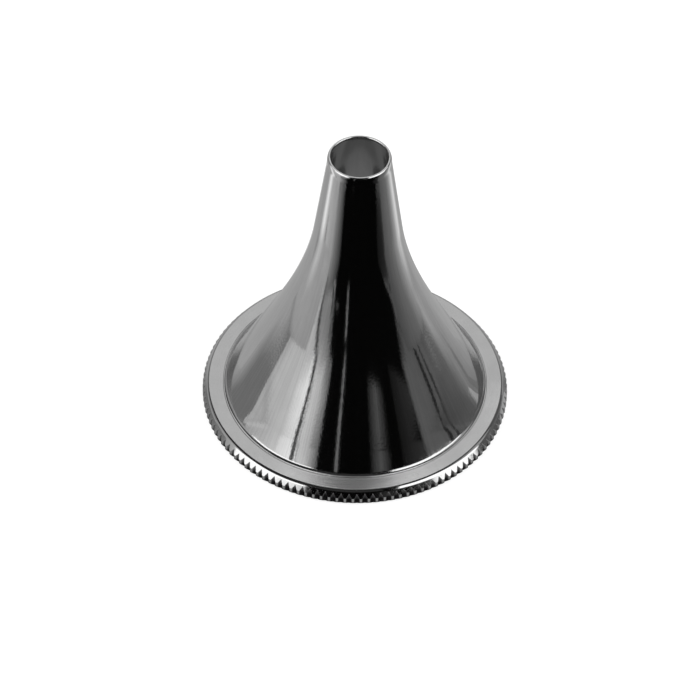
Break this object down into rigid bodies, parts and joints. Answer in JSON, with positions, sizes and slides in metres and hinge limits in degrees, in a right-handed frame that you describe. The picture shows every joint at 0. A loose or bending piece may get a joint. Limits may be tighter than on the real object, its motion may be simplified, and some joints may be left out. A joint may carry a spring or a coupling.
{
  "type": "ear speculum",
  "caption": "Trumpet-shaped metal ear speculum: a slender open tip flares to a wide open mouth set in a flat ring with a milled edge for the fingers.",
  "frame": {"origin": "centre of the mouth, on the underside of the rim, where the speculum stands", "axes": "+Z along the funnel's axis, from the mouth towards the tip"},
  "size_m": [0.034, 0.034, 0.0359],
  "materials": {
    "polished_chrome": "bright polished plating with fine wiping scratches",
    "milled_chrome": "plated over fine turning lines on the face and milled teeth on the edge",
    "soldered_chrome": "plated over a smoothed silver-solder fillet"
  },
  "bodies": {
    "root": {"funnel": "polished_chrome", "milled_rim": "milled_chrome", "solder_fillet": "soldered_chrome"}
  },
  "joints": []
}
